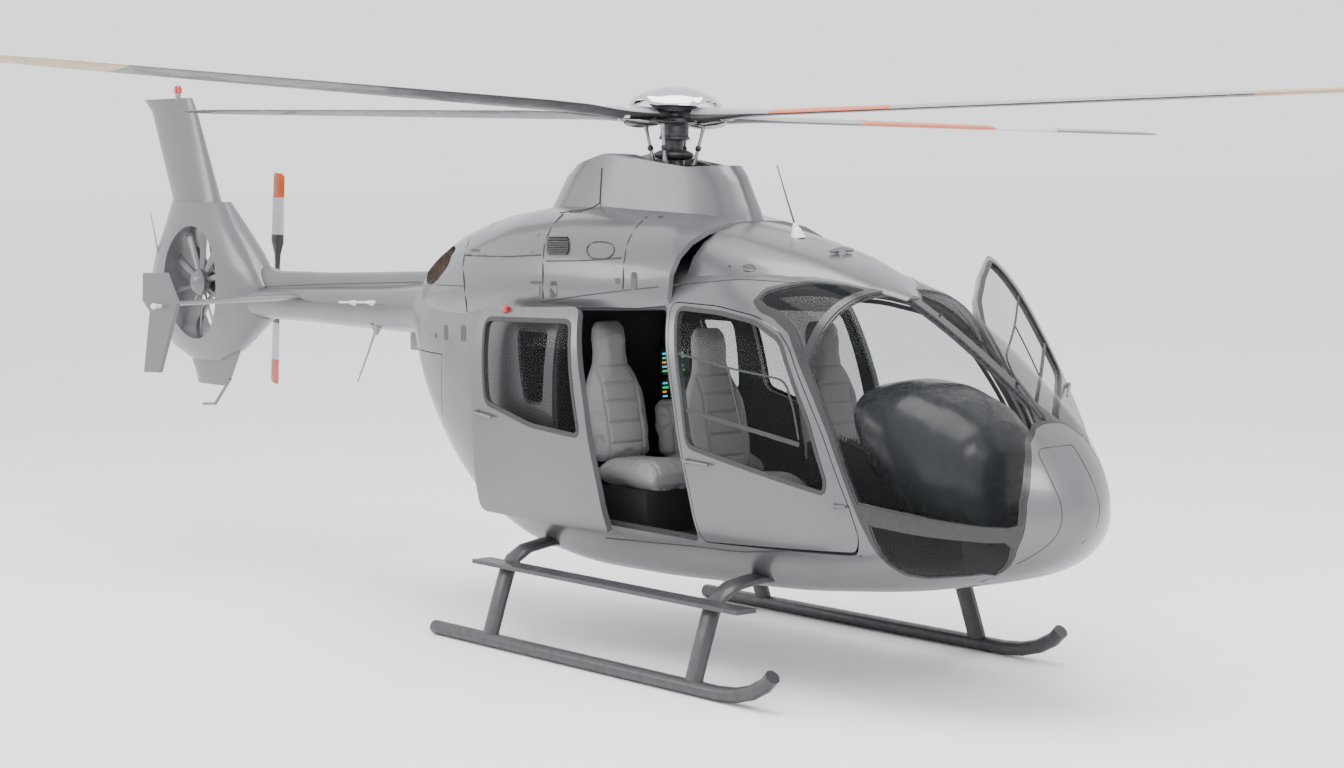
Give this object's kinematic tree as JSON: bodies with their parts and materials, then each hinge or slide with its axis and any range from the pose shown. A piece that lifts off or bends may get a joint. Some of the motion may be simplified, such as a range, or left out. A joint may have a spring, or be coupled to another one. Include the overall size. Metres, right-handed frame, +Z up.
{
  "type": "light twin-engine helicopter",
  "caption": "Light helicopter on skids with rigid main rotor, ducted tail fan, side tail rotor, hinged front doors and an open sliding door.",
  "frame": {"origin": "middle of the overall box at ground level", "axes": "-Y is the nose, +X is port, +Z is up"},
  "size_m": [10.1014, 12.2859, 3.6018],
  "materials": {
    "silver_paint": "silver-grey metallic paint",
    "dark_paint": "dark grey paint",
    "tinted_acrylic": "tinted acrylic",
    "steel": "machined",
    "polished_cap": "polished",
    "seat_leather": "sewn leather",
    "interior_trim": "moulded",
    "blade_composite": "painted composite"
  },
  "bodies": {
    "airframe": {"cabin_body": "silver_paint", "cabin_floor": "interior_trim", "centre_console": "interior_trim", "chin_window_port": "tinted_acrylic", "chin_window_starboard": "tinted_acrylic", "cross_tube_front": "dark_paint", "cross_tube_rear": "dark_paint", "engine_cowl": "silver_paint", "engines": "steel", "exhaust_cowl": "silver_paint", "fan_shroud": "silver_paint", "fan_stator": "silver_paint", "front_seat_base_port": "interior_trim", "front_seat_base_starboard": "interior_trim", "front_seat_port": "seat_leather", "front_seat_starboard": "seat_leather", "instrument_panel": "tinted_acrylic", "mast_fairing": "silver_paint", "mission_rack": "interior_trim", "nose_cap": "silver_paint", "rear_bulkhead": "interior_trim", "rear_seat_base": "interior_trim", "rear_seat_middle": "seat_leather", "rear_seat_starboard": "seat_leather", "rear_window_port": "tinted_acrylic", "rear_window_starboard": "tinted_acrylic", "roof_ramp": "silver_paint", "roof_window_port": "tinted_acrylic", "roof_window_starboard": "tinted_acrylic", "shaft_cover": "silver_paint", "skid_port": "dark_paint", "skid_starboard": "dark_paint", "sliding_door_pane_port": "tinted_acrylic", "sliding_door_pane_starboard": "tinted_acrylic", "sliding_door_port": "silver_paint", "sliding_door_starboard": "silver_paint", "step_port": "dark_paint", "step_starboard": "dark_paint", "tail_boom": "silver_paint", "tailplane": "silver_paint", "windscreen_port": "tinted_acrylic", "windscreen_starboard": "tinted_acrylic"},
    "main_rotor": {"main_blade_1": "blade_composite", "main_blade_2": "blade_composite", "main_blade_3": "blade_composite", "main_blade_4": "blade_composite", "rotor_head": "polished_cap", "swashplate": "steel"},
    "duct_fan": {"duct_fan": "silver_paint"},
    "tail_rotor": {"tail_rotor": "blade_composite"},
    "front_door_starboard": {"front_door_pane_starboard": "tinted_acrylic", "front_door_starboard": "silver_paint"},
    "front_door_port": {"front_door_pane_port": "tinted_acrylic", "front_door_port": "silver_paint"},
    "clamshell_door_starboard": {"clamshell_door_starboard": "silver_paint"},
    "clamshell_door_port": {"clamshell_door_port": "silver_paint"}
  },
  "joints": [
    {"name": "main_rotor_spin", "type": "hinge", "parent": "airframe", "child": "main_rotor", "pos_m": [0, -1.094, 3.285], "axis": [0.0454, 0, 0.999], "continuous": true},
    {"name": "duct_fan_spin", "type": "hinge", "parent": "airframe", "child": "duct_fan", "pos_m": [-0.06, 5.106, 2.06], "axis": [1, 0, 0], "continuous": true},
    {"name": "tail_rotor_spin", "type": "hinge", "parent": "airframe", "child": "tail_rotor", "pos_m": [0.62, 5.106, 2.06], "axis": [1, 0, 0], "continuous": true},
    {"name": "front_door_starboard_hinge", "type": "hinge", "parent": "airframe", "child": "front_door_starboard", "pos_m": [-0.758, -3.694, 0.95], "axis": [0.0175, 0.4818, 0.8761], "range_deg": [0, 75]},
    {"name": "front_door_port_hinge", "type": "hinge", "parent": "airframe", "child": "front_door_port", "pos_m": [0.758, -3.694, 0.95], "axis": [-0.0175, 0.4818, 0.8761], "range_deg": [-13, 60]},
    {"name": "clamshell_door_starboard_hinge", "type": "hinge", "parent": "airframe", "child": "clamshell_door_starboard", "pos_m": [-0.697, 0.609, 1.4], "axis": [0, 0, 1], "range_deg": [0, 80]},
    {"name": "clamshell_door_port_hinge", "type": "hinge", "parent": "airframe", "child": "clamshell_door_port", "pos_m": [0.697, 0.609, 1.4], "axis": [0, 0, 1], "range_deg": [-80, 0]}
  ]
}
